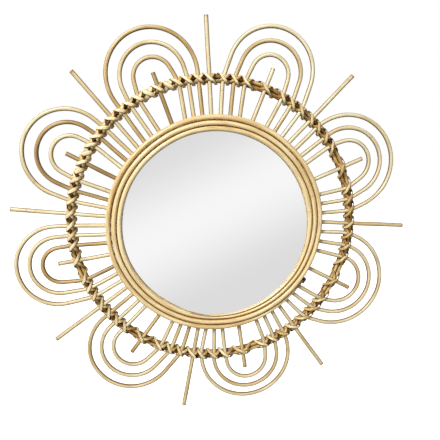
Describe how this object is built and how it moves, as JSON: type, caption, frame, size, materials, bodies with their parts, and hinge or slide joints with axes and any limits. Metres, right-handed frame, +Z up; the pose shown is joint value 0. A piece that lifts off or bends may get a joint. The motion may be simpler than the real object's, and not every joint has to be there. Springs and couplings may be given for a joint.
{
  "type": "wall mirror",
  "caption": "Round wall mirror in a flower of bent cane: looped petals and straight rays bound to a hoop round a ringed glass.",
  "frame": {"origin": "centre of the backing board's flat back face, where the mirror meets the wall", "axes": "+Y out of the back face into the wall, the front looks along -Y, +Z up, +X to the right as seen from the front"},
  "size_m": [0.5979, 0.0237, 0.5976],
  "materials": {
    "cane": "satin",
    "ring_cane": "satin",
    "core_cane": "satin",
    "peel": "satin",
    "board": "matte",
    "glass": "polished",
    "clip": "satin"
  },
  "bodies": {
    "root": {"mirror_glass": "glass", "backing_board": "board", "ring_inner": "ring_cane", "ring_middle": "ring_cane", "ring_outer": "ring_cane", "long_ray_0": "cane", "long_ray_1": "cane", "long_ray_2": "cane", "long_ray_3": "cane", "long_ray_4": "cane", "long_ray_5": "cane", "long_ray_6": "cane", "long_ray_7": "cane", "short_stick_0": "cane", "short_stick_1": "cane", "short_stick_2": "cane", "short_stick_3": "cane", "short_stick_4": "cane", "short_stick_5": "cane", "short_stick_6": "cane", "short_stick_7": "cane", "arch_0_inner": "cane", "arch_0_middle": "cane", "arch_0_outer": "cane", "arch_1_inner": "cane", "arch_1_middle": "cane", "arch_1_outer": "cane", "arch_2_inner": "cane", "arch_2_middle": "cane", "arch_2_outer": "cane", "arch_3_inner": "cane", "arch_3_middle": "cane", "arch_3_outer": "cane", "arch_4_inner": "cane", "arch_4_middle": "cane", "arch_4_outer": "cane", "arch_5_inner": "cane", "arch_5_middle": "cane", "arch_5_outer": "cane", "arch_6_inner": "cane", "arch_6_middle": "cane", "arch_6_outer": "cane", "arch_7_inner": "cane", "arch_7_middle": "cane", "arch_7_outer": "cane", "hoop_core_inner": "core_cane", "hoop_core_outer": "core_cane", "binding_under": "peel", "binding_over": "peel", "rim_clip": "clip"}
  },
  "joints": []
}
